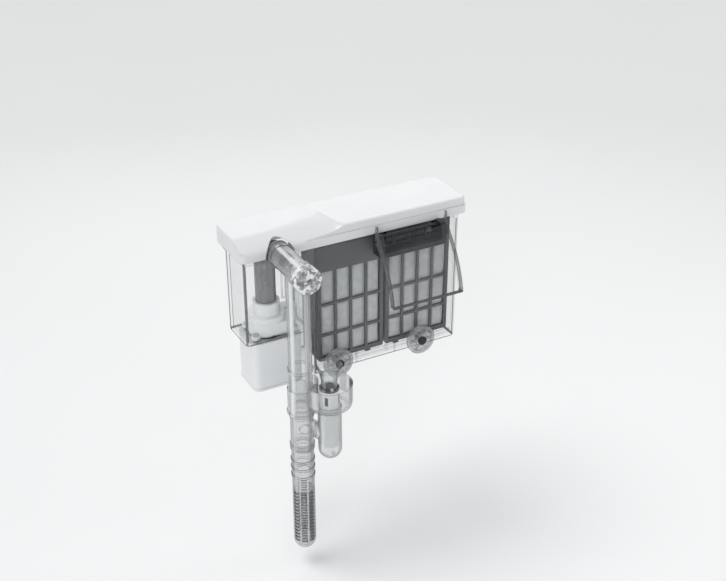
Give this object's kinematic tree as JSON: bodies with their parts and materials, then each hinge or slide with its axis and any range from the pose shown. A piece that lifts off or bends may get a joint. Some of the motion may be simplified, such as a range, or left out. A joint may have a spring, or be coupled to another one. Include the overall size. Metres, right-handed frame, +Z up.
{
  "type": "hang on back filter",
  "caption": "Clear aquarium filter that hangs outside a tank: lidded case, pump, lift-out cartridges, surface skimmer, slotted intake and hinged spout flap.",
  "frame": {"origin": "middle of the spout's underside, the face that sits on the rim of the tank", "axes": "+X along the case from the pump end to the spout end, +Y away from the tank, +Z up"},
  "size_m": [0.18, 0.0996, 0.2447],
  "materials": {
    "clear_case": "clear, polished",
    "clear_tube": "clear, polished",
    "lid_white": "satin white",
    "dark_plastic": "fine texture",
    "cage_grey": "satin",
    "smoke_pipe": "translucent grey",
    "white_plastic": "satin",
    "motor_grey": "satin",
    "well_black": "smooth",
    "frost_knob": "translucent",
    "frost_float": "milky translucent",
    "seal_rubber": "soft",
    "pad_fibre": "bonded fibre floss",
    "carbon_bag": "net bag of granules",
    "steel_core": "laminated",
    "copper_coil": "enamelled winding",
    "magnet": "ferrite",
    "ceramic_shaft": "polished",
    "screw_steel": "stainless",
    "cable_black": "matt",
    "impeller_white": "moulded"
  },
  "bodies": {
    "case": {"housing": "clear_case", "spout": "dark_plastic", "suction_pipe": "smoke_pipe", "volute": "white_plastic", "rotor_can": "well_black", "can_seal": "seal_rubber", "motor_case": "motor_grey", "motor_base": "motor_grey", "base_screws": "screw_steel", "pump_screws": "screw_steel", "stator_core": "steel_core", "motor_coil": "copper_coil", "shaft": "ceramic_shaft", "lower_bush": "seal_rubber", "upper_bush": "seal_rubber", "power_cable": "cable_black", "cable_gland": "cable_black", "intake_elbow": "clear_tube"},
    "lid": {"lid": "lid_white"},
    "cartridge_a": {"cart_a_front_frame": "cage_grey", "cart_a_back_frame": "cage_grey", "cart_a_front_pad": "pad_fibre", "cart_a_carbon": "carbon_bag", "cart_a_back_pad": "pad_fibre"},
    "cartridge_b": {"cart_b_front_frame": "cage_grey", "cart_b_back_frame": "cage_grey", "cart_b_front_pad": "pad_fibre", "cart_b_carbon": "carbon_bag", "cart_b_back_pad": "pad_fibre"},
    "flap": {"flap": "clear_tube"},
    "flow_valve": {"flow_knob": "frost_knob"},
    "rotor": {"impeller": "impeller_white", "rotor_magnet": "magnet"},
    "lower_intake": {"tube_collar": "clear_tube", "tee": "clear_tube", "skimmer_tube": "clear_tube", "strainer": "clear_tube"},
    "float": {"skimmer_float": "frost_float", "skimmer_funnel": "clear_tube"},
    "level_left": {"level_knob_left": "frost_knob", "level_pad_left": "seal_rubber"},
    "level_right": {"level_knob_right": "frost_knob", "level_pad_right": "seal_rubber"}
  },
  "joints": [
    {"name": "lid_lift", "type": "slide", "parent": "case", "child": "lid", "axis": [0, 0, 1], "range_m": [0, 0.118]},
    {"name": "cartridge_a_lift", "type": "slide", "parent": "case", "child": "cartridge_a", "axis": [0, 0, 1], "range_m": [0, 0.1055]},
    {"name": "cartridge_b_lift", "type": "slide", "parent": "case", "child": "cartridge_b", "axis": [0, 0, 1], "range_m": [0, 0.1055]},
    {"name": "flap_tilt", "type": "hinge", "parent": "case", "child": "flap", "pos_m": [0, -0.0012, 0.012], "axis": [-1, 0, 0], "range_deg": [-10, 22]},
    {"name": "flow_turn", "type": "hinge", "parent": "case", "child": "flow_valve", "pos_m": [-0.0995, -0.0212, 0.016], "axis": [0, 1, 0], "range_deg": [0, 90]},
    {"name": "rotor_spin", "type": "hinge", "parent": "case", "child": "rotor", "pos_m": [-0.1045, 0.0221, -0.055], "axis": [0, 0, 1], "continuous": true},
    {"name": "intake_lower", "type": "slide", "parent": "case", "child": "lower_intake", "axis": [0, 0, -1], "range_m": [0, 0.012]},
    {"name": "float_rise", "type": "slide", "parent": "lower_intake", "child": "float", "axis": [0, 0, 1], "range_m": [0, 0.01]},
    {"name": "level_left_screw", "type": "slide", "parent": "case", "child": "level_left", "axis": [0, -1, 0], "range_m": [0, 0.0035]},
    {"name": "level_right_screw", "type": "slide", "parent": "case", "child": "level_right", "axis": [0, -1, 0], "range_m": [0, 0.0035]}
  ],
  "couplings": [
    {"joint": "cartridge_a_lift", "follows": "lid_lift", "ratio": 0.88983},
    {"joint": "cartridge_b_lift", "follows": "lid_lift", "ratio": 0.88983}
  ]
}
